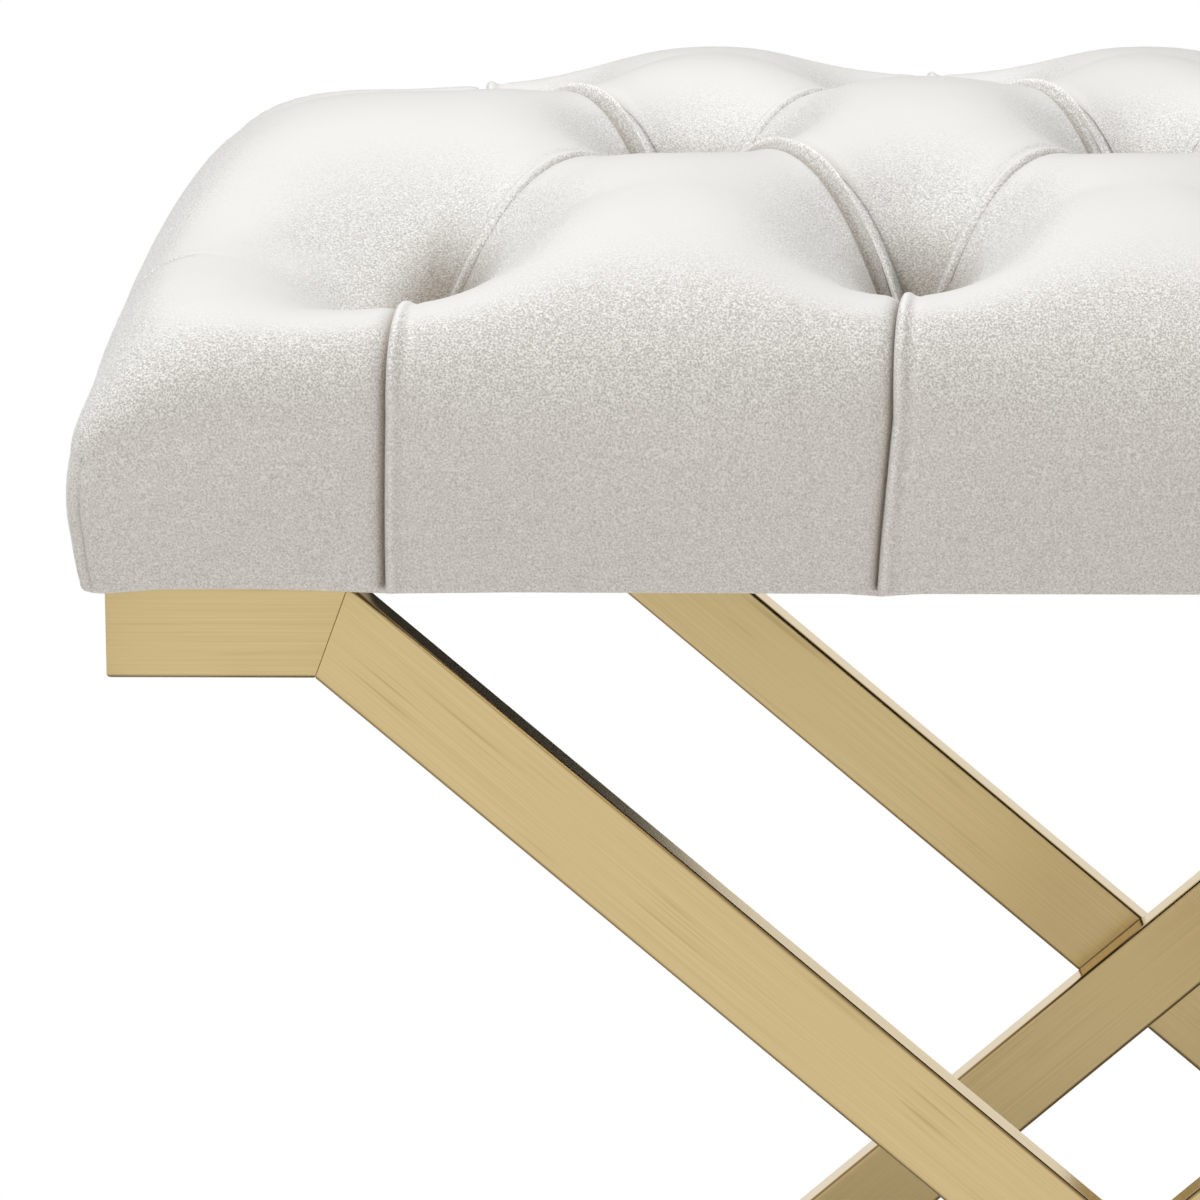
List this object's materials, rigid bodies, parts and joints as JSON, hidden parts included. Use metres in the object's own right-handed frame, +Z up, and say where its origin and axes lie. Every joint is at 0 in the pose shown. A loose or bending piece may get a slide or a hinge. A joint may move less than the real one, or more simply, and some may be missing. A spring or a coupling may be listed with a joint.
{
  "type": "tufted bench",
  "caption": "Rectangular bench with a deep diamond-tufted velvet seat on a crossed frame of flat brass tube with mitred pads, feet and floor rails.",
  "frame": {"origin": "on the floor under the middle of the seat", "axes": "+X along the seat to the right of someone facing the bench, +Y to the rear, +Z up"},
  "size_m": [0.5674, 0.388, 0.4982],
  "materials": {
    "velvet": "ivory short-pile velvet with soft sheen",
    "foam": "open-cell upholstery foam",
    "plywood": "raw birch plywood",
    "twine": "waxed tufting twine",
    "dust_cloth": "black non-woven cloth",
    "brushed_brass": "pale brass, brushed along each bar",
    "steel": "zinc-plated fasteners",
    "nylon": "black moulded nylon"
  },
  "bodies": {
    "root": {"dust_cover": "dust_cloth", "foam_block": "foam", "inner_floor_rail": "brushed_brass", "inner_front_diagonal": "brushed_brass", "inner_front_foot": "brushed_brass", "inner_front_glide": "nylon", "inner_front_top_pad": "brushed_brass", "inner_rear_diagonal": "brushed_brass", "inner_rear_foot": "brushed_brass", "inner_rear_glide": "nylon", "inner_rear_top_pad": "brushed_brass", "inner_top_rail": "brushed_brass", "left_front_bolt": "steel", "left_front_mounting_tab": "brushed_brass", "left_front_t_nut": "steel", "left_front_washer": "steel", "left_rear_bolt": "steel", "left_rear_mounting_tab": "brushed_brass", "left_rear_t_nut": "steel", "left_rear_washer": "steel", "outer_floor_rail": "brushed_brass", "outer_front_diagonal": "brushed_brass", "outer_front_foot": "brushed_brass", "outer_front_glide": "nylon", "outer_front_top_pad": "brushed_brass", "outer_rear_diagonal": "brushed_brass", "outer_rear_foot": "brushed_brass", "outer_rear_glide": "nylon", "outer_rear_top_pad": "brushed_brass", "outer_top_rail": "brushed_brass", "right_front_bolt": "steel", "right_front_mounting_tab": "brushed_brass", "right_front_t_nut": "steel", "right_front_washer": "steel", "right_rear_bolt": "steel", "right_rear_mounting_tab": "brushed_brass", "right_rear_t_nut": "steel", "right_rear_washer": "steel", "seat_deck": "plywood", "tuft_tie_1": "twine", "tuft_tie_10": "twine", "tuft_tie_11": "twine", "tuft_tie_2": "twine", "tuft_tie_3": "twine", "tuft_tie_4": "twine", "tuft_tie_5": "twine", "tuft_tie_6": "twine", "tuft_tie_7": "twine", "tuft_tie_8": "twine", "tuft_tie_9": "twine", "velvet_cover": "velvet"}
  },
  "joints": []
}
